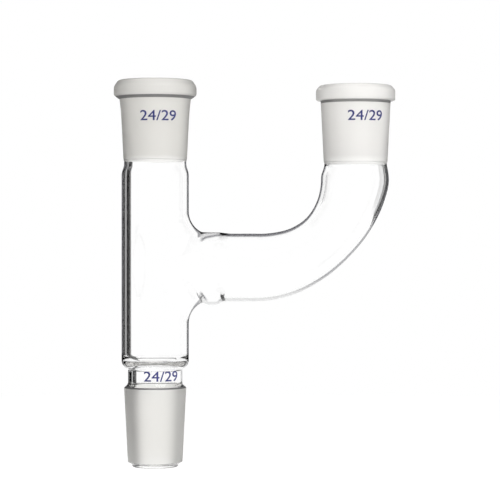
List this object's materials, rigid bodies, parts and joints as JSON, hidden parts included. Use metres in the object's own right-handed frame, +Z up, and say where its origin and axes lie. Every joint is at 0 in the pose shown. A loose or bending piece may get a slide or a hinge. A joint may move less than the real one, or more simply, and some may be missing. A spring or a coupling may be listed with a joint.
{
  "type": "three-way glass adapter",
  "caption": "Clear glass adapter: an upright tube with a ground socket on top and a ground cone below, and a side arm bent upright to another ground socket.",
  "frame": {"origin": "on the upright tube's axis, in the gauge plane of the cone at its foot, where the ground cone is 24 mm wide", "axes": "+Z up the tube's axis to the main socket, +X from the tube to the side socket, +Y away from the camera side"},
  "size_m": [0.1087, 0.032, 0.1491],
  "materials": {
    "clear_glass": "clear, flame-smoothed borosilicate glass",
    "ground_glass": "satin, ground to a 1:10 taper",
    "size_mark": "dark blue fired enamel"
  },
  "bodies": {
    "root": {"adapter_body": "clear_glass"}
  },
  "joints": []
}
